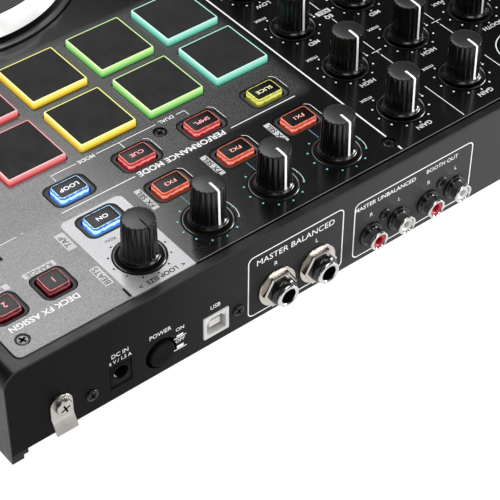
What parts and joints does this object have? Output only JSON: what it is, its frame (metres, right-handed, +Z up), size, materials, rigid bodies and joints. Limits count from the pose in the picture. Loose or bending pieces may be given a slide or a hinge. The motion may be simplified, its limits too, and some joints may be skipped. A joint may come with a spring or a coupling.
{
  "type": "dj controller",
  "caption": "Desktop music mixing controller with two jog wheels, lit pads and buttons, a knob mixer section, faders, and audio, data and power sockets on the rear panel.",
  "frame": {"origin": "on the table, midway across the width and midway between the front face and the rearmost socket", "axes": "+X to the player's right, +Y to the rear, +Z up"},
  "size_m": [0.538, 0.358, 0.0662],
  "materials": {
    "shell": "satin moulded",
    "base": "fine powder coat",
    "plate": "satin print",
    "panel": "satin black",
    "rubber": "matt",
    "screw_steel": "zinc",
    "trim": "satin",
    "collar": "gloss",
    "board": "solder mask",
    "socket_black": "satin",
    "nickel": "nickel plate",
    "pot": "pressed can",
    "ring": "satin",
    "knob": "soft touch",
    "knob_grey": "satin",
    "pad_red": "lit silicone",
    "pad_yellow": "lit silicone",
    "pad_green": "lit silicone",
    "pad_teal": "lit silicone",
    "pad_clear": "unlit silicone",
    "cap_blue": "lit clear cap",
    "cap_red": "lit clear cap",
    "cap_orange": "lit clear cap",
    "cap_yellow": "lit clear cap",
    "cap_smoke": "smoky clear cap",
    "cap_white": "clear cap",
    "fader": "satin",
    "jog": "silver paint"
  },
  "bodies": {
    "chassis": {"bottom_shell": "base", "top_shell": "shell", "face_plate": "plate", "rear_panel": "panel", "rubber_feet": "rubber", "screws": "screw_steel", "button_bezels": "trim", "knob_collars": "collar", "control_board": "board", "io_board": "board", "jack_sockets": "socket_black", "jack_nuts": "nickel", "phono_sockets": "nickel", "usb_socket": "nickel", "dc_socket": "socket_black", "ground_terminal": "nickel", "pot_bodies": "pot", "fader_bodies": "pot", "jog_bases": "ring", "front_sockets": "socket_black", "knobs_joined": "knob"},
    "pad_rear_1": {"pad_rear_1": "pad_red"},
    "pad_rear_2": {"pad_rear_2": "pad_yellow"},
    "pad_rear_3": {"pad_rear_3": "pad_green"},
    "pad_rear_4": {"pad_rear_4": "pad_teal"},
    "pad_front_1": {"pad_front_1": "pad_red"},
    "pad_front_2": {"pad_front_2": "pad_yellow"},
    "pad_front_3": {"pad_front_3": "pad_green"},
    "pad_front_4": {"pad_front_4": "pad_teal"},
    "pads_left": {"pads_left": "pad_clear"},
    "mode_button_1": {"mode_button_1": "cap_blue"},
    "fx_button_1": {"fx_button_1": "cap_blue"},
    "mode_button_2": {"mode_button_2": "cap_red"},
    "fx_button_2": {"fx_button_2": "cap_orange"},
    "mode_button_3": {"mode_button_3": "cap_red"},
    "fx_button_3": {"fx_button_3": "cap_orange"},
    "mode_button_4": {"mode_button_4": "cap_yellow"},
    "fx_button_4": {"fx_button_4": "cap_orange"},
    "assign_button_1": {"assign_button_1": "cap_smoke"},
    "assign_button_2": {"assign_button_2": "cap_smoke"},
    "buttons_left": {"buttons_left": "cap_orange"},
    "transport_buttons": {"transport_buttons": "cap_white"},
    "loop_encoder": {"loop_encoder": "knob"},
    "fx_knob_2": {"fx_knob_2": "knob"},
    "fx_knob_3": {"fx_knob_3": "knob"},
    "fx_knob_4": {"fx_knob_4": "knob"},
    "gain_knob_3": {"gain_knob_3": "knob"},
    "gain_knob_4": {"gain_knob_4": "knob"},
    "high_knob_3": {"high_knob_3": "knob"},
    "high_knob_4": {"high_knob_4": "knob"},
    "mid_knob_4": {"mid_knob_4": "knob"},
    "booth_knob": {"booth_knob": "knob"},
    "browse_encoder": {"browse_encoder": "knob_grey"},
    "channel_faders": {"channel_faders": "fader"},
    "crossfader": {"crossfader": "fader"},
    "pitch_fader_right": {"pitch_fader_right": "fader"},
    "pitch_fader_left": {"pitch_fader_left": "fader"},
    "jog_right": {"jog_right": "jog"},
    "jog_left": {"jog_left": "jog"},
    "power_button": {"power_button": "socket_black"}
  },
  "joints": [
    {"name": "pad_rear_1_travel", "type": "slide", "parent": "chassis", "child": "pad_rear_1", "axis": [0, 0, -1], "range_m": [0, 0.0012], "stiffness_N_per_m": 600, "springref_m": -0.003},
    {"name": "pad_rear_2_travel", "type": "slide", "parent": "chassis", "child": "pad_rear_2", "axis": [0, 0, -1], "range_m": [0, 0.0012], "stiffness_N_per_m": 600, "springref_m": -0.003},
    {"name": "pad_rear_3_travel", "type": "slide", "parent": "chassis", "child": "pad_rear_3", "axis": [0, 0, -1], "range_m": [0, 0.0012], "stiffness_N_per_m": 600, "springref_m": -0.003},
    {"name": "pad_rear_4_travel", "type": "slide", "parent": "chassis", "child": "pad_rear_4", "axis": [0, 0, -1], "range_m": [0, 0.0012], "stiffness_N_per_m": 600, "springref_m": -0.003},
    {"name": "pad_front_1_travel", "type": "slide", "parent": "chassis", "child": "pad_front_1", "axis": [0, 0, -1], "range_m": [0, 0.0012], "stiffness_N_per_m": 600, "springref_m": -0.003},
    {"name": "pad_front_2_travel", "type": "slide", "parent": "chassis", "child": "pad_front_2", "axis": [0, 0, -1], "range_m": [0, 0.0012], "stiffness_N_per_m": 600, "springref_m": -0.003},
    {"name": "pad_front_3_travel", "type": "slide", "parent": "chassis", "child": "pad_front_3", "axis": [0, 0, -1], "range_m": [0, 0.0012], "stiffness_N_per_m": 600, "springref_m": -0.003},
    {"name": "pad_front_4_travel", "type": "slide", "parent": "chassis", "child": "pad_front_4", "axis": [0, 0, -1], "range_m": [0, 0.0012], "stiffness_N_per_m": 600, "springref_m": -0.003},
    {"name": "pads_left_travel", "type": "slide", "parent": "chassis", "child": "pads_left", "axis": [0, 0, -1], "range_m": [0, 0.0012], "stiffness_N_per_m": 4000, "springref_m": -0.003},
    {"name": "mode_button_1_travel", "type": "slide", "parent": "chassis", "child": "mode_button_1", "axis": [0, 0, -1], "range_m": [0, 0.0008], "stiffness_N_per_m": 300, "springref_m": -0.002},
    {"name": "fx_button_1_travel", "type": "slide", "parent": "chassis", "child": "fx_button_1", "axis": [0, 0, -1], "range_m": [0, 0.0008], "stiffness_N_per_m": 300, "springref_m": -0.002},
    {"name": "mode_button_2_travel", "type": "slide", "parent": "chassis", "child": "mode_button_2", "axis": [0, 0, -1], "range_m": [0, 0.0008], "stiffness_N_per_m": 300, "springref_m": -0.002},
    {"name": "fx_button_2_travel", "type": "slide", "parent": "chassis", "child": "fx_button_2", "axis": [0, 0, -1], "range_m": [0, 0.0008], "stiffness_N_per_m": 300, "springref_m": -0.002},
    {"name": "mode_button_3_travel", "type": "slide", "parent": "chassis", "child": "mode_button_3", "axis": [0, 0, -1], "range_m": [0, 0.0008], "stiffness_N_per_m": 300, "springref_m": -0.002},
    {"name": "fx_button_3_travel", "type": "slide", "parent": "chassis", "child": "fx_button_3", "axis": [0, 0, -1], "range_m": [0, 0.0008], "stiffness_N_per_m": 300, "springref_m": -0.002},
    {"name": "mode_button_4_travel", "type": "slide", "parent": "chassis", "child": "mode_button_4", "axis": [0, 0, -1], "range_m": [0, 0.0008], "stiffness_N_per_m": 300, "springref_m": -0.002},
    {"name": "fx_button_4_travel", "type": "slide", "parent": "chassis", "child": "fx_button_4", "axis": [0, 0, -1], "range_m": [0, 0.0008], "stiffness_N_per_m": 300, "springref_m": -0.002},
    {"name": "assign_button_1_travel", "type": "slide", "parent": "chassis", "child": "assign_button_1", "axis": [0, 0, -1], "range_m": [0, 0.0008], "stiffness_N_per_m": 300, "springref_m": -0.002},
    {"name": "assign_button_2_travel", "type": "slide", "parent": "chassis", "child": "assign_button_2", "axis": [0, 0, -1], "range_m": [0, 0.0008], "stiffness_N_per_m": 300, "springref_m": -0.002},
    {"name": "buttons_left_travel", "type": "slide", "parent": "chassis", "child": "buttons_left", "axis": [0, 0, -1], "range_m": [0, 0.0008], "stiffness_N_per_m": 2500, "springref_m": -0.002},
    {"name": "transport_buttons_travel", "type": "slide", "parent": "chassis", "child": "transport_buttons", "axis": [0, 0, -1], "range_m": [0, 0.0008], "stiffness_N_per_m": 3000, "springref_m": -0.002},
    {"name": "loop_encoder_turn", "type": "hinge", "parent": "chassis", "child": "loop_encoder", "pos_m": [0.1972, 0.1515, 0.047], "axis": [0, 0, -1], "continuous": true},
    {"name": "fx_knob_2_turn", "type": "hinge", "parent": "chassis", "child": "fx_knob_2", "pos_m": [0.16595, 0.1515, 0.047], "axis": [0, 0, -1], "range_deg": [-150, 150]},
    {"name": "fx_knob_3_turn", "type": "hinge", "parent": "chassis", "child": "fx_knob_3", "pos_m": [0.1347, 0.1515, 0.047], "axis": [0, 0, -1], "range_deg": [-150, 150]},
    {"name": "fx_knob_4_turn", "type": "hinge", "parent": "chassis", "child": "fx_knob_4", "pos_m": [0.10345, 0.1515, 0.047], "axis": [0, 0, -1], "range_deg": [-150, 150]},
    {"name": "gain_knob_3_turn", "type": "hinge", "parent": "chassis", "child": "gain_knob_3", "pos_m": [0.0332, 0.1469, 0.047], "axis": [0, 0, -1], "range_deg": [-150, 150]},
    {"name": "gain_knob_4_turn", "type": "hinge", "parent": "chassis", "child": "gain_knob_4", "pos_m": [0.0664, 0.1469, 0.047], "axis": [0, 0, -1], "range_deg": [-150, 150]},
    {"name": "high_knob_3_turn", "type": "hinge", "parent": "chassis", "child": "high_knob_3", "pos_m": [0.0332, 0.1135, 0.047], "axis": [0, 0, -1], "range_deg": [-150, 150]},
    {"name": "high_knob_4_turn", "type": "hinge", "parent": "chassis", "child": "high_knob_4", "pos_m": [0.0664, 0.1135, 0.047], "axis": [0, 0, -1], "range_deg": [-150, 150]},
    {"name": "mid_knob_4_turn", "type": "hinge", "parent": "chassis", "child": "mid_knob_4", "pos_m": [0.0664, 0.0801, 0.047], "axis": [0, 0, -1], "range_deg": [-150, 150]},
    {"name": "booth_knob_turn", "type": "hinge", "parent": "chassis", "child": "booth_knob", "pos_m": [0, 0.1168, 0.047], "axis": [0, 0, -1], "range_deg": [-150, 150]},
    {"name": "browse_encoder_turn", "type": "hinge", "parent": "chassis", "child": "browse_encoder", "pos_m": [0, 0.149, 0.047], "axis": [0, 0, -1], "continuous": true},
    {"name": "channel_faders_travel", "type": "slide", "parent": "chassis", "child": "channel_faders", "axis": [0, 1, 0], "range_m": [-0.0225, 0.0225]},
    {"name": "crossfader_travel", "type": "slide", "parent": "chassis", "child": "crossfader", "axis": [1, 0, 0], "range_m": [-0.0225, 0.0225]},
    {"name": "pitch_fader_right_travel", "type": "slide", "parent": "chassis", "child": "pitch_fader_right", "axis": [0, 1, 0], "range_m": [-0.05, 0.05]},
    {"name": "pitch_fader_left_travel", "type": "slide", "parent": "chassis", "child": "pitch_fader_left", "axis": [0, 1, 0], "range_m": [-0.05, 0.05]},
    {"name": "jog_right_turn", "type": "hinge", "parent": "chassis", "child": "jog_right", "pos_m": [0.164, -0.0413, 0.047], "axis": [0, 0, -1], "continuous": true},
    {"name": "jog_left_turn", "type": "hinge", "parent": "chassis", "child": "jog_left", "pos_m": [-0.179, -0.0413, 0.047], "axis": [0, 0, -1], "continuous": true},
    {"name": "power_button_travel", "type": "slide", "parent": "chassis", "child": "power_button", "axis": [0, -1, 0], "range_m": [0, 0.003], "stiffness_N_per_m": 500, "springref_m": -0.002}
  ]
}
